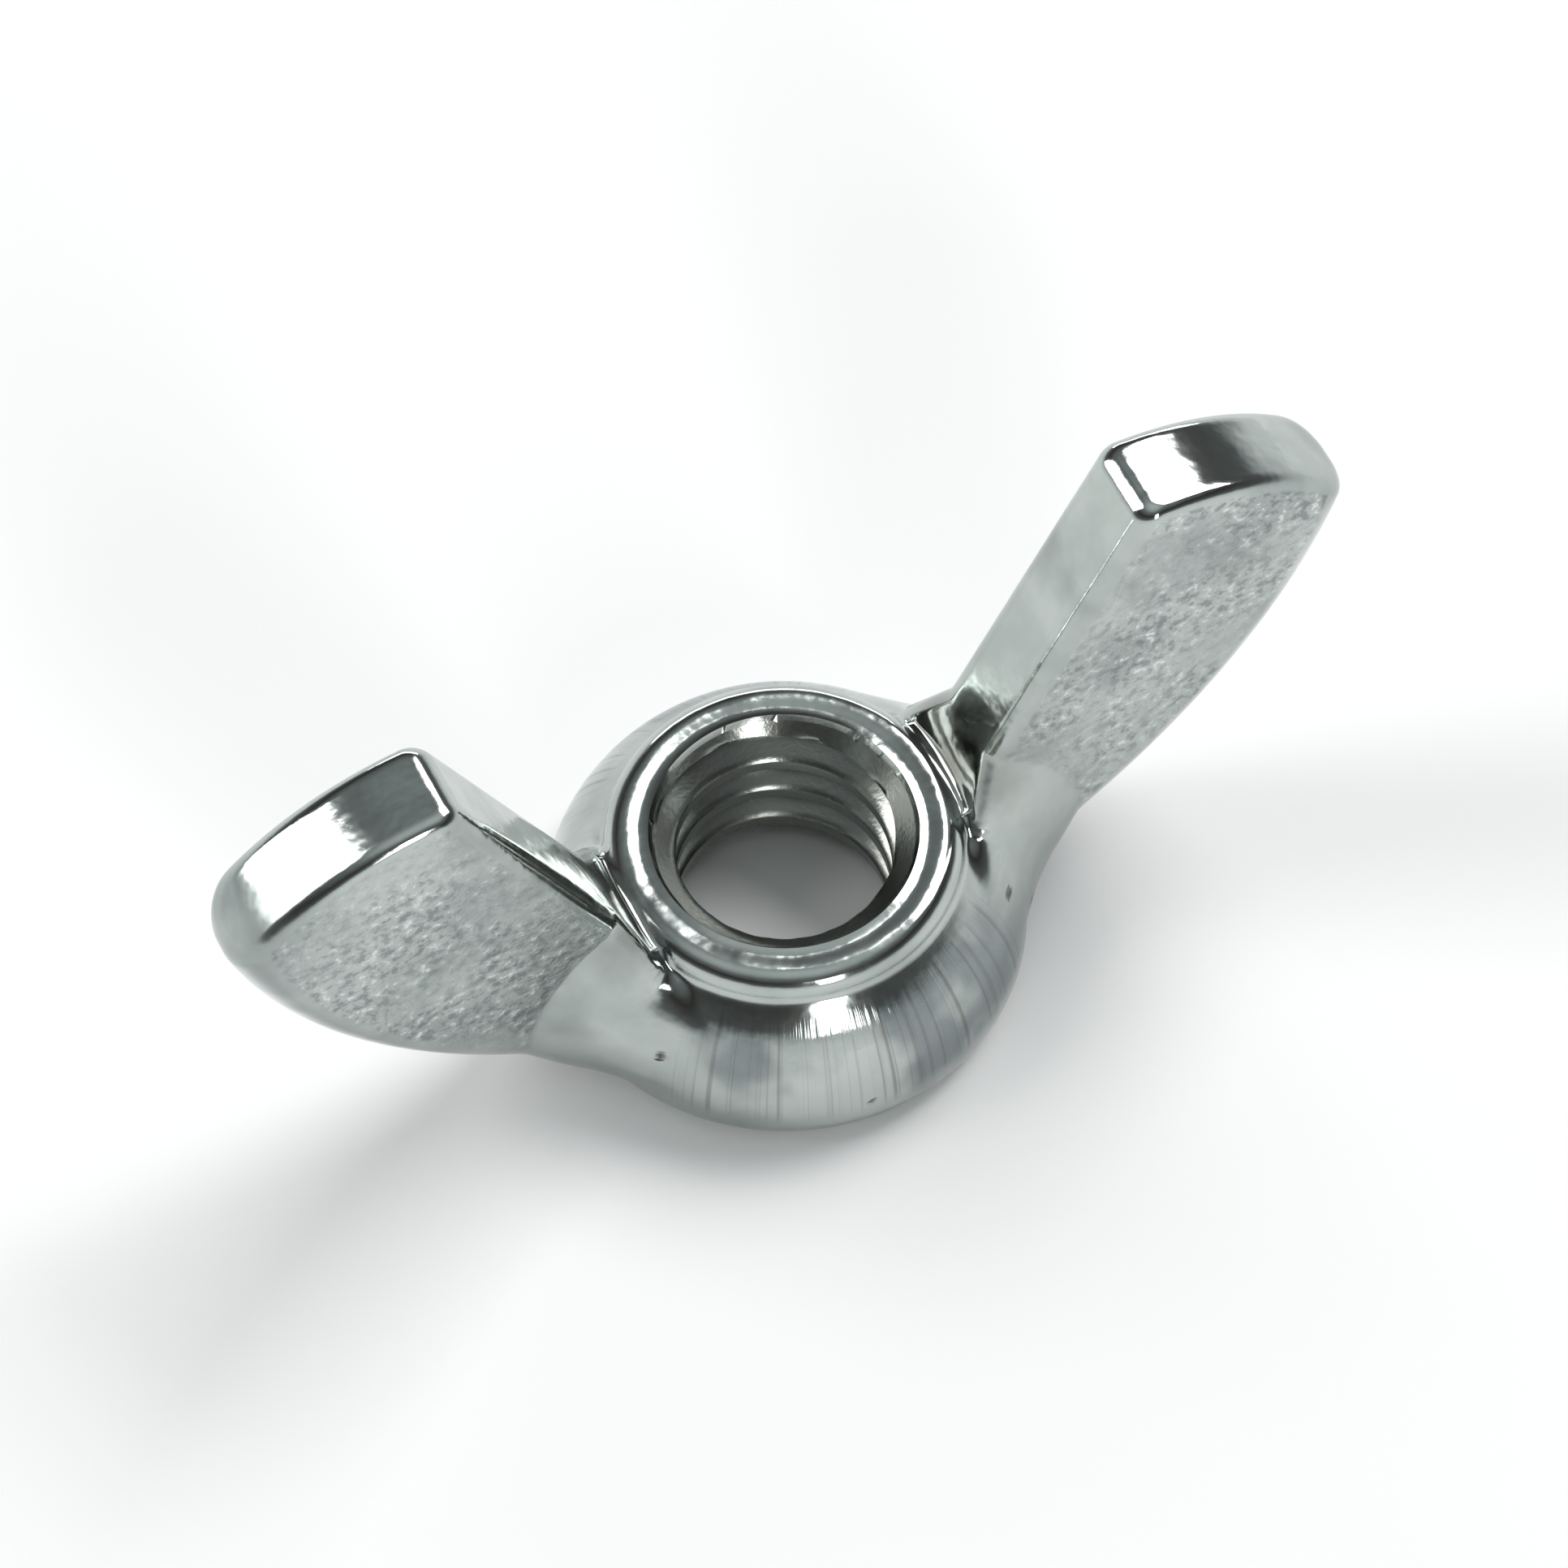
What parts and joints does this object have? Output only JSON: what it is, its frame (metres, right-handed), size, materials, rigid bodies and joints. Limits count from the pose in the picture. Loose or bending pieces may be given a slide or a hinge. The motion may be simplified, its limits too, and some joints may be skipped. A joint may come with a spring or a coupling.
{
  "type": "wing nut",
  "caption": "Forged wing nut with a domed round hub, a tapped through hole countersunk at both mouths and flat raised wings turned by hand.",
  "frame": {"origin": "centre of the tapped hole on the bearing face", "axes": "+Z along the hole from the bearing face towards the wing tips, X along the wing spread, Y through the thickness of the wings"},
  "size_m": [0.0288, 0.0116, 0.0137],
  "materials": {
    "zinc": "bright zinc plate on forged steel: satin, finely speckled wing faces and polished rounded edges"
  },
  "bodies": {
    "root": {"wing_nut": "zinc"}
  },
  "joints": []
}
